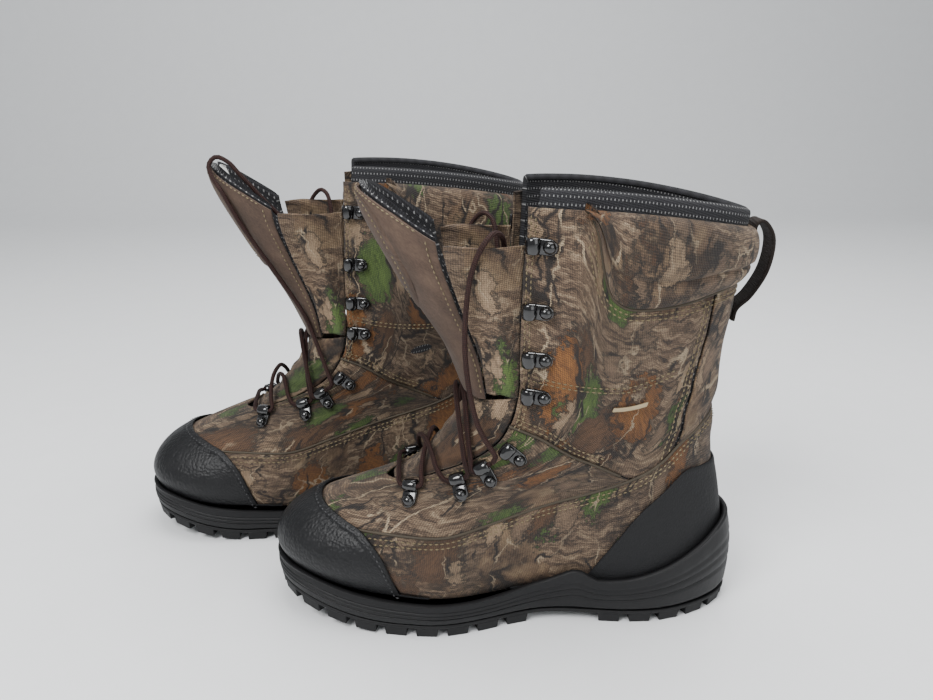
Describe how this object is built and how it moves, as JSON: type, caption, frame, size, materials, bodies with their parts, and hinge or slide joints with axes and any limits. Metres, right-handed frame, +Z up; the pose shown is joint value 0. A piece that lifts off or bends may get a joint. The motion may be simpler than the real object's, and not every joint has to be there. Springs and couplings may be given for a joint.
{
  "type": "insulated hunting boots",
  "caption": "Insulated lace-up hunting boots, camouflage fabric uppers with black rubber toe and heel caps, lugged soles and hinged padded tongues, laces through the lower hooks only.",
  "frame": {"origin": "centre of the pair's bounding box, on the ground", "axes": "+Z up, -Y towards the toes, +X to the wearer's left: the left boot is at +X and the right boot at -X, toed in by 4.9 degrees and set back"},
  "size_m": [0.2548, 0.4413, 0.2928],
  "materials": {
    "camo_fabric": "woven camouflage print",
    "black_rubber": "pebbled matte",
    "outsole_rubber": "matte",
    "black_mesh": "knitted mesh",
    "insulation": "fibre batting",
    "nubuck": "brown nubuck",
    "hook_metal": "gloss black",
    "lace_cord": "braided cord",
    "webbing": "woven webbing",
    "board": "fibre board",
    "shank_steel": "plain"
  },
  "bodies": {
    "left_boot": {"left_backstay": "camo_fabric", "left_collar": "camo_fabric", "left_footbed": "black_mesh", "left_gusset_lateral": "camo_fabric", "left_gusset_medial": "camo_fabric", "left_heel_cap": "black_rubber", "left_hooks_lateral": "hook_metal", "left_hooks_medial": "hook_metal", "left_insulation": "insulation", "left_lace": "lace_cord", "left_lace_end_lateral": "lace_cord", "left_lace_end_medial": "lace_cord", "left_lasting_board": "board", "left_lining": "black_mesh", "left_midsole": "black_rubber", "left_outsole": "outsole_rubber", "left_pull_loop": "webbing", "left_quarter": "camo_fabric", "left_shaft_lateral": "camo_fabric", "left_shaft_medial": "camo_fabric", "left_shank": "shank_steel", "left_toe_cap": "black_rubber", "left_tongue_lower": "camo_fabric", "left_vamp": "camo_fabric"},
    "left_tongue": {"left_tongue_face": "nubuck", "left_tongue_padding": "black_mesh"},
    "right_boot": {"right_backstay": "camo_fabric", "right_collar": "camo_fabric", "right_footbed": "black_mesh", "right_gusset_lateral": "camo_fabric", "right_gusset_medial": "camo_fabric", "right_heel_cap": "black_rubber", "right_hooks_lateral": "hook_metal", "right_hooks_medial": "hook_metal", "right_insulation": "insulation", "right_lace": "lace_cord", "right_lace_end_lateral": "lace_cord", "right_lace_end_medial": "lace_cord", "right_lasting_board": "board", "right_lining": "black_mesh", "right_midsole": "black_rubber", "right_outsole": "outsole_rubber", "right_pull_loop": "webbing", "right_quarter": "camo_fabric", "right_shaft_lateral": "camo_fabric", "right_shaft_medial": "camo_fabric", "right_shank": "shank_steel", "right_toe_cap": "black_rubber", "right_tongue_lower": "camo_fabric", "right_vamp": "camo_fabric"},
    "right_tongue": {"right_tongue_face": "nubuck", "right_tongue_padding": "black_mesh"}
  },
  "joints": [
    {"name": "right_boot_lift", "type": "slide", "parent": "left_boot", "child": "right_boot", "axis": [0, 0, 1], "range_m": [0, 0.35]},
    {"name": "left_tongue_hinge", "type": "hinge", "parent": "left_boot", "child": "left_tongue", "pos_m": [0.0713, 0.0273, 0.1515], "axis": [1, 0, 0], "range_deg": [-24, 10], "deforming": ["left_gusset_lateral", "left_gusset_medial", "left_lace_end_lateral", "left_lace_end_medial"]},
    {"name": "right_tongue_hinge", "type": "hinge", "parent": "right_boot", "child": "right_tongue", "pos_m": [-0.06366, -0.09221, 0.1515], "axis": [0.9963, 0.0854, 0], "range_deg": [-24, 10], "deforming": ["right_gusset_lateral", "right_gusset_medial", "right_lace_end_lateral", "right_lace_end_medial"]}
  ]
}
